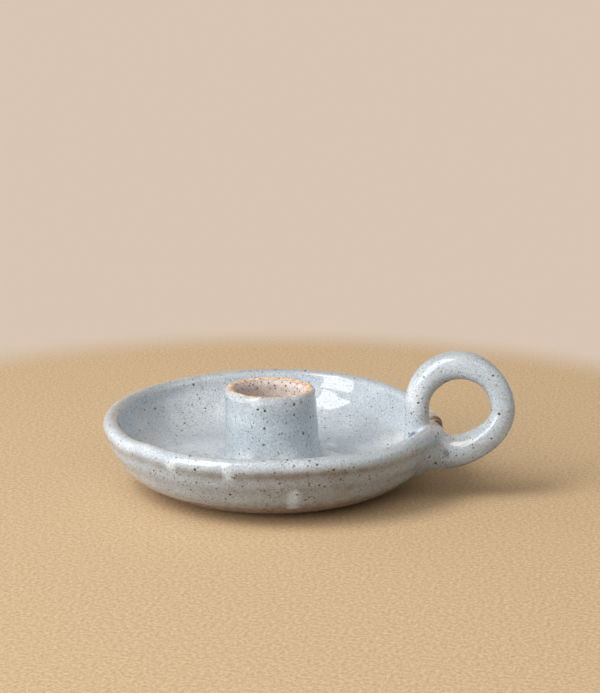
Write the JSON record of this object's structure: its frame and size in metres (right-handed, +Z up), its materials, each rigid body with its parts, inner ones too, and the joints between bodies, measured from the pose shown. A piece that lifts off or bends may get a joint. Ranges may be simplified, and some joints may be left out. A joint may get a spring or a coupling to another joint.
{
  "type": "chamberstick",
  "caption": "Glazed stoneware chamberstick: a shallow round dish with a candle socket on its floor and a finger loop over the rim to carry it by.",
  "frame": {"origin": "middle of the foot's flat underside, on the dish's axis", "axes": "+Z up along the dish's and the socket's axis, +X from the axis through the finger loop"},
  "size_m": [0.1436, 0.118, 0.0509],
  "materials": {
    "glazed_stoneware": "glossy pale blue-grey glaze with dark iron speckle, bare clay at the foot and toasted at the socket's lip",
    "fired_slip": "bare fired clay"
  },
  "bodies": {
    "root": {"dish": "glazed_stoneware", "candle_socket": "glazed_stoneware", "socket_slip": "fired_slip", "socket_coil": "glazed_stoneware", "finger_loop": "glazed_stoneware", "loop_inner_slip": "fired_slip", "loop_outer_slip": "fired_slip", "loop_inner_coil": "glazed_stoneware", "loop_outer_coil": "glazed_stoneware"}
  },
  "joints": []
}
